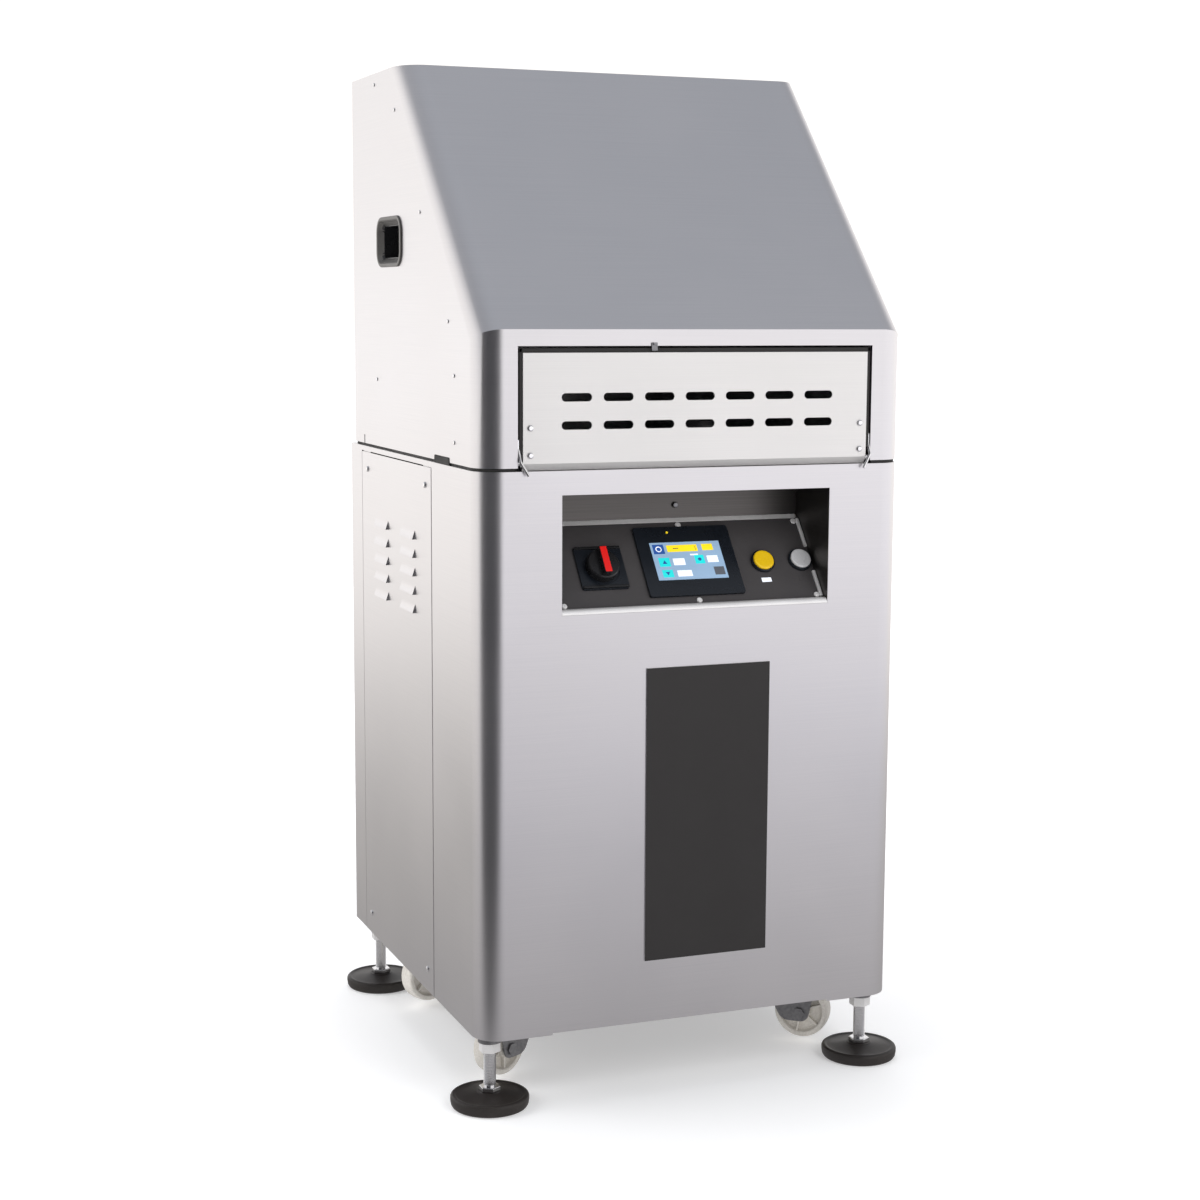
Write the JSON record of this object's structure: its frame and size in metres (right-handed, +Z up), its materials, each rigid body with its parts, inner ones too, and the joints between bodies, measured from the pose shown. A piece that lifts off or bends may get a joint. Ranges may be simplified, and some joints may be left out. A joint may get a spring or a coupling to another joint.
{
  "type": "sous vide water bath",
  "caption": "Floor-standing heated circulating water bath: brushed steel cabinet on levelling feet and casters, sloped hood that tips back, slotted loading flap, recessed sloped controls.",
  "frame": {"origin": "on the floor, under the middle of the cabinet", "axes": "+Z up, front faces -Y, +X to the right of a person facing the front"},
  "size_m": [0.624, 0.616, 1.312],
  "materials": {
    "brushed_stainless": "fine brushed, satin",
    "niche_stainless": "brushed, darker",
    "zinc_steel": "zinc plated, satin",
    "bright_steel": "plated, bright",
    "black_rubber": "matte",
    "pad_rubber": "moulded, slightly glossy",
    "charcoal_panel": "satin",
    "fascia_black": "fine textured black",
    "bezel_plastic": "moulded, satin",
    "screen_glass": "lit display behind glass",
    "cup_steel": "pressed, satin",
    "knob_plastic": "moulded, glossy",
    "yellow_cap": "moulded, glossy",
    "grey_cap": "moulded, glossy",
    "wheel_nylon": "moulded nylon",
    "cast_housing": "cast, painted",
    "motor_paint": "painted",
    "brass_fitting": "machined",
    "box_plastic": "moulded",
    "red_sleeve": "dipped plastic sleeve"
  },
  "bodies": {
    "cabinet": {"frame": "zinc_steel", "cabinet_shell": "brushed_stainless", "side_panel_left": "brushed_stainless", "side_panel_right": "brushed_stainless", "rear_panel": "brushed_stainless", "base_plate": "zinc_steel", "top_deck": "brushed_stainless", "hood_gasket": "black_rubber", "hood_rest_blocks": "black_rubber", "front_trim_panel": "charcoal_panel", "control_niche": "niche_stainless", "fascia_plate": "fascia_black", "display_bezel": "bezel_plastic", "display_screen": "screen_glass", "switch_plate": "bezel_plastic", "button_collars": "bezel_plastic", "contact_blocks": "bezel_plastic", "panel_screws": "bright_steel", "cable_gland": "bezel_plastic", "tank": "niche_stainless", "tank_shelf": "niche_stainless", "heating_element": "bright_steel", "temperature_probe": "bright_steel", "pump_housing": "cast_housing", "pump_motor": "motor_paint", "pump_pipes": "black_rubber", "drain_valve": "brass_fitting", "electrical_box": "box_plastic", "hinge_fixed_leaves": "bright_steel", "jam_nuts": "bright_steel", "caster_plates": "zinc_steel"},
    "hood": {"hood_shell": "brushed_stainless", "hood_rivets": "bright_steel", "handle_cups": "cup_steel", "hinge_moving_leaves": "bright_steel", "flap_stops": "bright_steel"},
    "flap_door": {"flap": "brushed_stainless", "flap_screws": "bright_steel", "flap_pins": "bright_steel"},
    "main_switch": {"switch_knob": "knob_plastic"},
    "yellow_push": {"yellow_button": "yellow_cap"},
    "grey_push": {"grey_button": "grey_cap"},
    "impeller": {"pump_impeller": "box_plastic"},
    "drain_handle": {"drain_lever": "red_sleeve"},
    "foot_fl": {"foot_pad_fl": "pad_rubber", "foot_spindle_fl": "bright_steel"},
    "foot_fr": {"foot_pad_fr": "pad_rubber", "foot_spindle_fr": "bright_steel"},
    "foot_rl": {"foot_pad_rl": "pad_rubber", "foot_spindle_rl": "bright_steel"},
    "foot_rr": {"foot_pad_rr": "pad_rubber", "foot_spindle_rr": "bright_steel"},
    "caster_fl": {"caster_fork_fl": "zinc_steel"},
    "wheel_fl": {"caster_wheel_fl": "wheel_nylon"},
    "caster_fr": {"caster_fork_fr": "zinc_steel"},
    "wheel_fr": {"caster_wheel_fr": "wheel_nylon"},
    "caster_rl": {"caster_fork_rl": "zinc_steel"},
    "wheel_rl": {"caster_wheel_rl": "wheel_nylon"},
    "caster_rr": {"caster_fork_rr": "zinc_steel"},
    "wheel_rr": {"caster_wheel_rr": "wheel_nylon"}
  },
  "joints": [
    {"name": "hood_hinge", "type": "hinge", "parent": "cabinet", "child": "hood", "pos_m": [0, 0.281, 0.8098], "axis": [-1, 0, 0], "range_deg": [0, 75]},
    {"name": "flap_hinge", "type": "hinge", "parent": "hood", "child": "flap_door", "pos_m": [0, -0.291, 0.813], "axis": [1, 0, 0], "range_deg": [0, 53]},
    {"name": "switch_turn", "type": "hinge", "parent": "cabinet", "child": "main_switch", "pos_m": [-0.112, -0.24963, 0.67614], "axis": [0, 0.7756, -0.6312], "range_deg": [0, 90]},
    {"name": "yellow_press", "type": "slide", "parent": "cabinet", "child": "yellow_push", "axis": [0, 0.7756, -0.6312], "range_m": [0, 0.003], "stiffness_N_per_m": 900},
    {"name": "grey_press", "type": "slide", "parent": "cabinet", "child": "grey_push", "axis": [0, 0.7756, -0.6312], "range_m": [0, 0.003], "stiffness_N_per_m": 900},
    {"name": "impeller_spin", "type": "hinge", "parent": "cabinet", "child": "impeller", "pos_m": [0, 0.04, 0.1765], "axis": [1, 0, 0], "continuous": true},
    {"name": "drain_turn", "type": "hinge", "parent": "cabinet", "child": "drain_handle", "pos_m": [0.117, 0.215, 0.084], "axis": [-1, 0, 0], "range_deg": [0, 90]},
    {"name": "foot_screw_fl", "type": "slide", "parent": "cabinet", "child": "foot_fl", "axis": [0, 0, 1], "range_m": [-0.02, 0.016]},
    {"name": "foot_screw_fr", "type": "slide", "parent": "cabinet", "child": "foot_fr", "axis": [0, 0, 1], "range_m": [-0.02, 0.016]},
    {"name": "foot_screw_rl", "type": "slide", "parent": "cabinet", "child": "foot_rl", "axis": [0, 0, 1], "range_m": [-0.02, 0.016]},
    {"name": "foot_screw_rr", "type": "slide", "parent": "cabinet", "child": "foot_rr", "axis": [0, 0, 1], "range_m": [-0.02, 0.016]},
    {"name": "caster_swivel_fl", "type": "hinge", "parent": "cabinet", "child": "caster_fl", "pos_m": [-0.195, -0.158, 0.108], "axis": [0, 0, 1], "continuous": true},
    {"name": "wheel_roll_fl", "type": "hinge", "parent": "caster_fl", "child": "wheel_fl", "pos_m": [-0.22124, -0.17254, 0.0455], "axis": [0.4848, -0.8746, 0], "continuous": true},
    {"name": "caster_swivel_fr", "type": "hinge", "parent": "cabinet", "child": "caster_fr", "pos_m": [0.195, -0.158, 0.108], "axis": [0, 0, 1], "continuous": true},
    {"name": "wheel_roll_fr", "type": "hinge", "parent": "caster_fr", "child": "wheel_fr", "pos_m": [0.21764, -0.17768, 0.0455], "axis": [0.6561, 0.7547, 0], "continuous": true},
    {"name": "caster_swivel_rl", "type": "hinge", "parent": "cabinet", "child": "caster_rl", "pos_m": [-0.195, 0.158, 0.108], "axis": [0, 0, 1], "continuous": true},
    {"name": "wheel_roll_rl", "type": "hinge", "parent": "caster_rl", "child": "wheel_rl", "pos_m": [-0.22353, 0.14873, 0.0455], "axis": [0.309, -0.9511, 0], "continuous": true},
    {"name": "caster_swivel_rr", "type": "hinge", "parent": "cabinet", "child": "caster_rr", "pos_m": [0.195, 0.158, 0.108], "axis": [0, 0, 1], "continuous": true},
    {"name": "wheel_roll_rr", "type": "hinge", "parent": "caster_rr", "child": "wheel_rr", "pos_m": [0.22044, 0.1421, 0.0455], "axis": [0.5299, 0.848, 0], "continuous": true}
  ]
}
